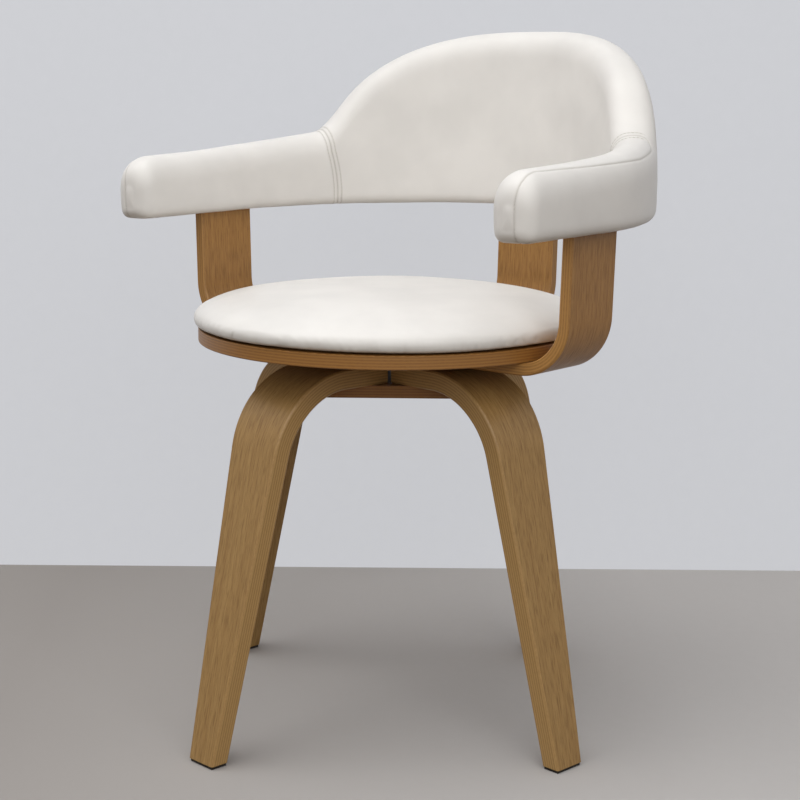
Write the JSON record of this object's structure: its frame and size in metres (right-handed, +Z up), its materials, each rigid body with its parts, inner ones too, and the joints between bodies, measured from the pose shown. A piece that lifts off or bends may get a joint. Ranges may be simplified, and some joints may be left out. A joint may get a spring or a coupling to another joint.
{
  "type": "swivel armchair",
  "caption": "Dining armchair whose round upholstered seat and wrap-around padded back and arms swivel on bent plywood legs.",
  "frame": {"origin": "on the swivel axis at floor level, the middle of the four feet", "axes": "+Z up along the swivel axis, -Y the way the seat faces, +X the sitter's left"},
  "size_m": [0.5644, 0.5536, 0.7564],
  "materials": {
    "veneered_plywood": "clear lacquer over oak-coloured veneer, satin; bare ply edges",
    "raw_plywood": "bare birch plywood",
    "cream_upholstery": "smooth off-white imitation leather over foam, soft sheen",
    "felt": "dark pressed felt",
    "plate_steel": "black stove-enamelled pressed sheet",
    "bearing_steel": "polished steel",
    "zinc_steel": "zinc-plated steel"
  },
  "bodies": {
    "base": {"leg_front": "veneered_plywood", "leg_right": "veneered_plywood", "leg_back": "veneered_plywood", "leg_left": "veneered_plywood", "foot_pad_front": "felt", "foot_pad_right": "felt", "foot_pad_back": "felt", "foot_pad_left": "felt", "clamp_board": "veneered_plywood", "swivel_base_plate": "plate_steel", "leg_bolts": "zinc_steel", "leg_washers": "zinc_steel", "leg_nuts": "zinc_steel", "board_screws": "zinc_steel"},
    "ball_ring": {"ball_cage": "plate_steel", "bearing_balls": "bearing_steel"},
    "seat": {"swivel_top_plate": "plate_steel", "pivot_rivet": "zinc_steel", "plate_screws": "zinc_steel", "seat_board": "veneered_plywood", "support_left": "veneered_plywood", "support_right": "veneered_plywood", "support_back": "veneered_plywood", "support_screws": "zinc_steel", "cushion_base": "raw_plywood", "cushion_screws": "zinc_steel", "seat_cushion": "cream_upholstery", "wrap_shell": "raw_plywood", "back_pad": "cream_upholstery", "arm_pad_left": "cream_upholstery", "arm_pad_right": "cream_upholstery", "wrap_screws": "zinc_steel"}
  },
  "joints": [
    {"name": "seat_swivel", "type": "hinge", "parent": "base", "child": "seat", "pos_m": [0, 0, 0.41175], "axis": [0, 0, 1], "continuous": true},
    {"name": "ball_orbit", "type": "hinge", "parent": "base", "child": "ball_ring", "pos_m": [0, 0, 0.41175], "axis": [0, 0, 1], "continuous": true}
  ],
  "couplings": [
    {"joint": "ball_orbit", "follows": "seat_swivel", "ratio": 0.5}
  ]
}
